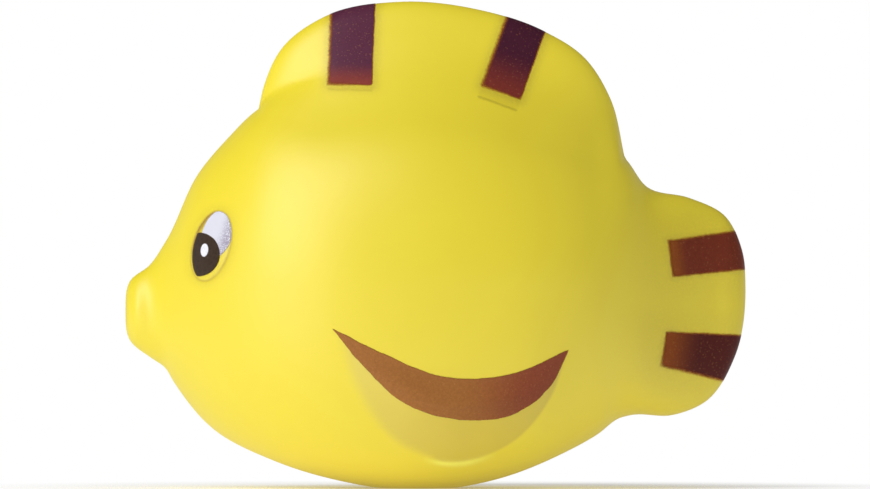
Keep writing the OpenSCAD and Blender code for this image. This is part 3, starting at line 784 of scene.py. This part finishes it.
def vinyl_group():
    """Soft vinyl: cloudy yellow, a satin skin with a faint orange peel, and a few specks."""
    tree, _, out = new_group("vinyl_finish", (), (
        ("Color", "NodeSocketColor"), ("Roughness", "NodeSocketFloat"), ("Height", "NodeSocketFloat")))
    cloud = ranged(tree, noise(tree, CLOUD_SCALE, 3), *NOISE_RANGE)
    yellow = mixed(tree, cloud, VINYL_DEEP, VINYL_PALE)
    place = make(tree, "ShaderNodeTexCoord").outputs["Object"]
    cells = make(tree, "ShaderNodeTexVoronoi", Vector=place, Scale=SPECK_SCALE).outputs
    lot = make(tree, "ShaderNodeSeparateColor", i0=cells["Color"]).outputs[0]
    chosen = maths(tree, "GREATER_THAN", lot, SPECK_RARITY)
    dot = ranged(tree, cells["Distance"], SPECK_SIZE, SPECK_SIZE / 2)
    speck = maths(tree, "MULTIPLY", maths(tree, "MULTIPLY", chosen, dot), SPECK_SHARE)
    tree.links.new(mixed(tree, speck, yellow, SPECK_BROWN), out["Color"])
    satin = noise(tree, SATIN_SCALE, 2)
    tree.links.new(ranged(tree, satin, *NOISE_RANGE, *VINYL_ROUGHNESS), out["Roughness"])
    tree.links.new(noise(tree, PEEL_SCALE, 2), out["Height"])
    return tree


def spray_group():
    """Sprayed paint: how much of it lies at a distance inside its edge, and its grainy tone."""
    tree, given, out = new_group("spray_coat", (
        ("Edge", "NodeSocketFloat"), ("Soft", "NodeSocketFloat"), ("Wobble", "NodeSocketFloat")), (
        ("Cover", "NodeSocketFloat"), ("Grain", "NodeSocketFloat")))
    wave = maths(tree, "MULTIPLY", centred_noise(tree, WOBBLE_SCALE, 3), given["Wobble"])
    grit = maths(tree, "MULTIPLY", centred_noise(tree, GRIT_SCALE, 2), GRIT_SHARE)
    rough = maths(tree, "MULTIPLY", grit, given["Soft"])
    edge = maths(tree, "ADD", maths(tree, "ADD", given["Edge"], wave), rough)
    below = maths(tree, "MULTIPLY", given["Soft"], -1.0)
    tree.links.new(ranged(tree, edge, below, given["Soft"]), out["Cover"])
    grain = noise(tree, GRAIN_SCALE, 3, GRAIN_DETAIL)
    tree.links.new(ranged(tree, grain, *GRAIN_RANGE), out["Grain"])
    return tree


def new_material(name):
    material = bpy.data.materials.new(name)
    material.use_nodes = True
    tree = material.node_tree
    tree.nodes.clear()
    output = tree.nodes.new("ShaderNodeOutputMaterial")
    shader = tree.nodes.new("ShaderNodeBsdfPrincipled")
    tree.links.new(shader.outputs[0], output.inputs[0])
    return material, tree, shader


def soft_shader(tree, shader, colour, roughness, height, cover=None, ior=VINYL_IOR):
    if cover:
        tree.links.new(cover, shader.inputs["Alpha"])
    tree.links.new(colour, shader.inputs["Base Color"])
    tree.links.new(roughness, shader.inputs["Roughness"])
    bump = make(tree, "ShaderNodeBump", Strength=PEEL_STRENGTH, Distance=PEEL_HEIGHT, Height=height)
    tree.links.new(bump.outputs[0], shader.inputs["Normal"])
    shader.inputs["IOR"].default_value = ior


def vinyl_material():
    material, tree, shader = new_material("yellow_vinyl")
    vinyl = place_group(tree, vinyl_finish)
    grit = ranged(tree, noise(tree, GRIT_SCALE, 2), *MIST_GRIT)
    # The spray mark holds paint mist, painted shade over the tail, and mist with painted shade round the eye
    spray = maths(tree, "MULTIPLY", mark(tree, "spray"), grit)
    colour = mixed(tree, spray, vinyl["Color"], MIST_BROWN)
    # Over that: a painted highlight, a painted glint along the side fin's lip, and painted shade from the
    # groove mark
    for name, tone in (("painted_highlight", HIGHLIGHT_PALE), ("lip", LIP_GLINT_PALE), ("groove", SHADE_BROWN)):
        colour = mixed(tree, mark(tree, name), colour, tone)
    soft_shader(tree, shader, colour, vinyl["Roughness"], vinyl["Height"])
    return material


def mask_line(tree, distance, wobble):
    """Faint line that the spray mask left at a distance before a stripe's end, and a stain from there on."""
    wave = maths(tree, "MULTIPLY", centred_noise(tree, WOBBLE_SCALE, 3), wobble)
    run = maths(tree, "ADD", mark(tree, "run"), wave)
    off = maths(tree, "ABSOLUTE", maths(tree, "ADD", run, distance))
    line = ranged(tree, off, MASK_LINE_WIDTH, 0, 0.0, distance * MASK_LINE_SHARE)
    stain = ranged(tree, run, -distance - MASK_SOFT, -distance + MASK_SOFT, 0.0, distance * MASK_STAIN_SHARE)
    beside = ranged(tree, maths(tree, "ABSOLUTE", mark(tree, "offset")), *MASK_SIDE)
    return maths(tree, "MULTIPLY", maths(tree, "MAXIMUM", line, stain), beside)


def paint_material(name, near, far, fade, soft, wobble, mask=None):
    """Band or crescent of brown paint, see-through past its edge."""
    material, tree, shader = new_material(name)
    vinyl = place_group(tree, vinyl_finish)
    softness = ranged(tree, mark(tree, "offset"), -1, 1, *soft)
    coat = place_group(tree, spray_coat, Edge=mark(tree, "edge"), Soft=softness, Wobble=wobble)
    tone = mixed(tree, ranged(tree, mark(tree, "run"), *fade), linear(*near), linear(*far))
    tone = mixed(tree, coat["Grain"], mixed(tree, 1.0, tone, GRAIN_SHADE, "MULTIPLY"), tone)
    colour = mixed(tree, ranged(tree, coat["Cover"], *FRINGE_RANGE), FRINGE_BROWN, tone)
    colour = mixed(tree, ranged(tree, noise(tree, PORE_SCALE, 1), *PORE_RANGE), colour, PORE_PALE)
    cover = coat["Cover"]
    if mask:
        colour = mixed(tree, ranged(tree, cover, *MASK_COVER), MIST_BROWN, colour)
        cover = maths(tree, "MAXIMUM", cover, mask_line(tree, mask, wobble))
    rough = ranged(tree, coat["Grain"], 0, 1, *PAINT_ROUGHNESS)
    soft_shader(tree, shader, colour, rough, vinyl["Height"], cover, PAINT_IOR)
    return material


def place_spray(tree, spray):
    soft, wobble = spray
    return place_group(tree, spray_coat, Edge=mark(tree, "edge"), Soft=soft, Wobble=wobble)


def eye_white_material():
    """White with grey dots towards the tail."""
    material, tree, shader = new_material("eye_white_paint")
    vinyl = place_group(tree, vinyl_finish)
    coat = place_spray(tree, EYE_WHITE_SPRAY)
    tail_side = ranged(tree, mark(tree, "run"), *DOT_SIDE)
    dots = ranged(tree, noise(tree, DOT_SCALE, 1), *DOT_RANGE)
    white = mixed(tree, maths(tree, "MULTIPLY", tail_side, dots), EYE_WHITE, EYE_GREY)
    soft_shader(tree, shader, white, vinyl["Roughness"], vinyl["Height"], coat["Cover"], PAINT_IOR)
    return material


def pupil_material():
    """Dark brown that thins to a paler brown at its edge."""
    material, tree, shader = new_material("pupil_paint")
    vinyl = place_group(tree, vinyl_finish)
    coat = place_spray(tree, PUPIL_SPRAY)
    dark = mixed(tree, coat["Grain"], PUPIL_DARK, PUPIL_BROWN)
    colour = mixed(tree, coat["Cover"], PUPIL_EDGE, dark)
    rough = ranged(tree, coat["Grain"], 0, 1, *PUPIL_ROUGHNESS)
    soft_shader(tree, shader, colour, rough, vinyl["Height"], coat["Cover"], PAINT_IOR)
    return material


def glint_material():
    material, tree, shader = new_material("glint_paint")
    vinyl = place_group(tree, vinyl_finish)
    coat = place_spray(tree, GLINT_SPRAY)
    white = mixed(tree, coat["Grain"], GLINT_WHITE, EYE_WHITE)
    rough = ranged(tree, coat["Grain"], 0, 1, *GLINT_ROUGHNESS)
    soft_shader(tree, shader, white, rough, vinyl["Height"], coat["Cover"], PAINT_IOR)
    return material


def moulded_material(name, pale, deep, roughness):
    """Hard plastic of the squeaker: a cloudy tone and fine mould marks."""
    material, tree, shader = new_material(name)
    cloud = ranged(tree, noise(tree, MOULD_CLOUD_SCALE, 3), *NOISE_RANGE)
    tree.links.new(mixed(tree, cloud, pale, deep), shader.inputs["Base Color"])
    satin = ranged(tree, noise(tree, MOULD_SATIN_SCALE, 2), *NOISE_RANGE, *roughness)
    tree.links.new(satin, shader.inputs["Roughness"])
    grain = noise(tree, MOULD_GRAIN_SCALE, 2)
    bump = make(tree, "ShaderNodeBump", Strength=MOULD_BUMP, Distance=MOULD_BUMP_HEIGHT, Height=grain)
    tree.links.new(bump.outputs[0], shader.inputs["Normal"])
    return material


def dress(obj, material):
    obj.data.materials.clear()
    obj.data.materials.append(material)


# Marks on the skin: paint mist, painted shade over the tail, round the eye and under the side fin, a painted
# highlight under the side fin and a painted glint along its lip
def paint_mist_and_shade(x, z, stripes):
    """Mist beside the stripes and before their inner ends, a broad one round the tail stripes that is
    painted shade darkening the tail, and one round the eye that is both mist and painted shade.
    """
    strength, spread = EYE_MIST_AND_SHADE
    off, _ = eye_places(x, z)
    mist = strength * bell(np.maximum(off, 0) / spread)
    for share, angle, width, strength, spread in stripes:
        start = placed(share)[0]
        way = heading(angle)
        run = (x - start[0]) * way[0] + (z - start[1]) * way[1]
        aside = np.abs((x - start[0]) * way[1] - (z - start[1]) * way[0]) - width / 2
        off = np.hypot(np.maximum(aside, 0), np.maximum(-run, 0))
        mist = np.maximum(mist, strength * bell(off / spread))
    return mist


def eye_shade(x, z):
    """Painted shade in the groove, and a band of painted shade inside its upper front."""
    off, _ = eye_places(x, z)
    ahead = (BAND_WAY[0] * (x - eye_centre[0]) + BAND_WAY[1] * (z - eye_centre[1])) / EYE_HALF_WIDTH
    band = np.where(off < 0, BAND_SHADE * smooth(1 + off / BAND_WIDTH), 0) * smooth(ahead)
    return np.maximum(GROOVE_SHADE * bell(off / GROOVE_WIDTH), band)


# Painted shade under the side fin's ledge, a painted highlight on its underside and a painted glint along
# its lip
def side_fin_marks(x, z):
    along, inside, to_lip, _ = side_fin_places(x, z)
    start = np.interp(along, LIP_PLACES, MARK_START) * MM
    under = np.where(inside, smooth(to_lip / start), 0)
    painted_shade = FIN_SHADE * under * np.interp(along, *FIN_SHADE_FADE)
    painted_highlight = FIN_HIGHLIGHT * under * np.interp(along, *FIN_HIGHLIGHT_FADE)
    # The painted glint follows the bead along the lip
    return painted_shade, painted_highlight, LIP_GLINT_SHARE * bead_share(along, to_lip)


def lay_marks(obj, stripes):
    co = np.array([v.co for v in obj.data.vertices], float)
    x, z = co[:, 0], co[:, 2]
    fin_shade, painted_highlight, lip = side_fin_marks(x, z)
    painted_shade = np.maximum(eye_shade(x, z), fin_shade)
    mist = paint_mist_and_shade(x, z, stripes)
    # The groove mark holds painted shade, and the lip mark a painted glint
    for name, values in (("spray", mist), ("groove", painted_shade), ("painted_highlight", painted_highlight), ("lip", lip)):
        attribute = obj.data.attributes.new(name, "FLOAT", "POINT")
        attribute.data.foreach_set("value", values.astype(np.float32))


def squeeze(obj):
    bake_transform(obj)


vinyl_finish = vinyl_group()
spray_coat = spray_group()

# The skin, in two halves that meet in the middle plane
vinyl = vinyl_material()
# Mist round the stripes; the tail's broad mist is painted shade
misted_and_shaded = [(node, STRIPE_MIST) for node in STRIPES] + [(node, TAIL_SHADE) for node in TAIL_STRIPES]
mists_and_shade = [(*STRIPES[node][:2], STRIPES[node][2] * MM, *mist) for node, mist in misted_and_shaded]
left_skin = left_half("left_skin")
right_skin = right_half("right_skin", left_skin)
for side, skin, nodes in ((-1, left_skin, ("body_shell", "left_flank")), (1, right_skin, ("right_flank",))):
    lay_marks(skin, mists_and_shade)
    dress(skin, vinyl)
    squeeze(skin)
    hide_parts(*nodes)

# The stripes, which wrap over the rim
for node, (share, angle, width, growth, near, far, run, soft, wobble, mask) in STRIPES.items():
    band = film(node + "_film", *STRIPE_GRID, stripe_lay(share, angle, width * MM, growth))
    dress(band, paint_material(node + "_paint", near, far, (0.0, run), soft, wobble, mask))
    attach(band, "body")
    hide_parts(node)

# The crescents and the eyes, on both sides
crescent_paint = paint_material("crescent_paint", *CRESCENT)
eye_paints = {"eye_white": eye_white_material(), "pupil": pupil_material(), "glint": glint_material()}
for side, word in ((-1, "left"), (1, "right")):
    crescent = film(word + "_crescent_film", *CRESCENT_GRID, crescent_lay, side, CRESCENT_LAYER * FILM_LIFT)
    dress(crescent, crescent_paint)
    squeeze(crescent)
    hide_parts(word + "_fin_crescent")
    for spot, (share, width, height, lean, inset, layer) in SPOTS.items():
        lay = spot_lay(share, width * MM, height * MM, lean, inset * MM)
        disc = film(f"{word}_{spot}_film", *SPOT_GRID, lay, side, layer * FILM_LIFT)
        dress(disc, eye_paints[spot])
        squeeze(disc)
        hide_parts(f"{word}_{spot}")

# The squeaker's own solids keep their shape
cream = moulded_material("cream_plastic", CREAM_PALE, CREAM_DEEP, CREAM_ROUGHNESS)
film_plastic = moulded_material("reed_film", REED_PALE, REED_DEEP, REED_ROUGHNESS)
for node in ("squeaker_housing", "reed_trough", "reed_wedge", "squeaker_cap"):
    dress(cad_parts[node], cream)
dress(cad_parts["reed"], film_plastic)


# Studio: white floor and background, one large soft lamp to the left of the camera
def add_floor():
    """Pale floor that keeps its shadow close to the fish and is white to the camera further off."""
    bm = bmesh.new()
    bmesh.ops.create_grid(
        bm, x_segments=1, y_segments=1, size=FLOOR_SIZE, matrix=Matrix.Translation((0, 0, -FLOOR_DROP)))
    floor = new_object("floor", bm)
    material, tree, shader = new_material("white_floor")
    place = make(tree, "ShaderNodeTexCoord").outputs["Object"]
    cloud = make(tree, "ShaderNodeTexNoise", Vector=place, Scale=FLOOR_SCALE).outputs[0]
    tree.links.new(ranged(tree, cloud, *NOISE_RANGE, *FLOOR_TONE), shader.inputs["Base Color"])
    shader.inputs["Roughness"].default_value = FLOOR_ROUGHNESS
    shader.inputs["Specular IOR Level"].default_value = FLOOR_SPECULAR
    shader.inputs["Emission Color"].default_value = WHITE
    shader.inputs["Emission Strength"].default_value = FLOOR_GLOW
    distance = make(tree, "ShaderNodeVectorMath", {"operation": "LENGTH"}, i0=place).outputs["Value"]
    path = make(tree, "ShaderNodeLightPath").outputs
    seen = maths(tree, "MULTIPLY", path["Is Camera Ray"], ranged(tree, distance, *FLOOR_WHITE))
    glow = make(tree, "ShaderNodeEmission", Strength=1.0)
    both = make(tree, "ShaderNodeMixShader", i0=seen, i1=shader.outputs[0], i2=glow.outputs[0])
    output = [n for n in tree.nodes if n.type == "OUTPUT_MATERIAL"][0]
    tree.links.new(both.outputs[0], output.inputs[0])
    dress(floor, material)


def add_lamp():
    data = bpy.data.lights.new("softbox", "AREA")
    data.shape = "RECTANGLE"
    data.size = LAMP_WIDTH
    data.size_y = LAMP_HEIGHT
    data.energy = LAMP_RADIANCE * math.pi * LAMP_WIDTH * LAMP_HEIGHT
    lamp = bpy.data.objects.new("softbox", data)
    bpy.context.scene.collection.objects.link(lamp)
    a, e = math.radians(LAMP_AZIMUTH), math.radians(LAMP_ELEVATION)
    way = Vector((-math.sin(a) * math.cos(e), -math.cos(a) * math.cos(e), math.sin(e)))
    lamp.location = Vector((0, 0, HEIGHT / 2)) + way * LAMP_DISTANCE
    lamp.rotation_mode = "QUATERNION"
    lamp.rotation_quaternion = (-way).to_track_quat("-Z", "Y")


def add_world():
    """White to the camera, even light on the fish, and in its sheen a dark room with a pale backdrop."""
    world = bpy.data.worlds.new("white_studio")
    bpy.context.scene.world = world
    world.use_nodes = True
    tree = world.node_tree
    tree.nodes.clear()
    path = make(tree, "ShaderNodeLightPath").outputs
    sight = make(tree, "ShaderNodeTexCoord").outputs["Generated"]
    way = make(tree, "ShaderNodeSeparateXYZ", i0=sight).outputs
    behind = ranged(tree, way["Y"], *BACKDROP_BACK)
    backdrop = maths(tree, "MULTIPLY", behind, ranged(tree, way["Z"], *BACKDROP_TOP))
    shiny = maths(tree, "MAXIMUM", path["Is Glossy Ray"], path["Is Transmission Ray"])
    shine = maths(tree, "MULTIPLY", maths(tree, "MULTIPLY", backdrop, BACKDROP_SHINE), shiny)
    seen = maths(tree, "MAXIMUM", path["Is Camera Ray"], shine)
    strength = between(tree, seen, between(tree, shiny, AMBIENT, ROOM_DARK), 1.0)
    sky = make(tree, "ShaderNodeBackground", Strength=strength)
    sky.inputs["Color"].default_value = WHITE
    output = tree.nodes.new("ShaderNodeOutputWorld")
    tree.links.new(sky.outputs[0], output.inputs[0])


def add_camera():
    """Camera level with the photo's middle, so far off that the fish fills the frame as in the photo."""
    data = bpy.data.cameras.new("photo_camera")
    data.lens = LENS
    data.sensor_width = SENSOR
    data.clip_start = CLIP_START
    data.clip_end = CLIP_END
    camera = bpy.data.objects.new("photo_camera", data)
    bpy.context.scene.collection.objects.link(camera)
    pixel = LENGTH / FISH_PIXELS
    x = (PHOTO_WIDTH / 2 - FISH_LEFT) * pixel - LENGTH / 2
    z = (FISH_BOTTOM - PHOTO_HEIGHT / 2) * pixel
    camera.location = (x, -PHOTO_WIDTH * pixel * LENS / SENSOR, z)
    camera.rotation_euler = (math.pi / 2, 0, 0)
    bpy.context.scene.camera = camera


add_floor()
add_lamp()
add_world()
add_camera()
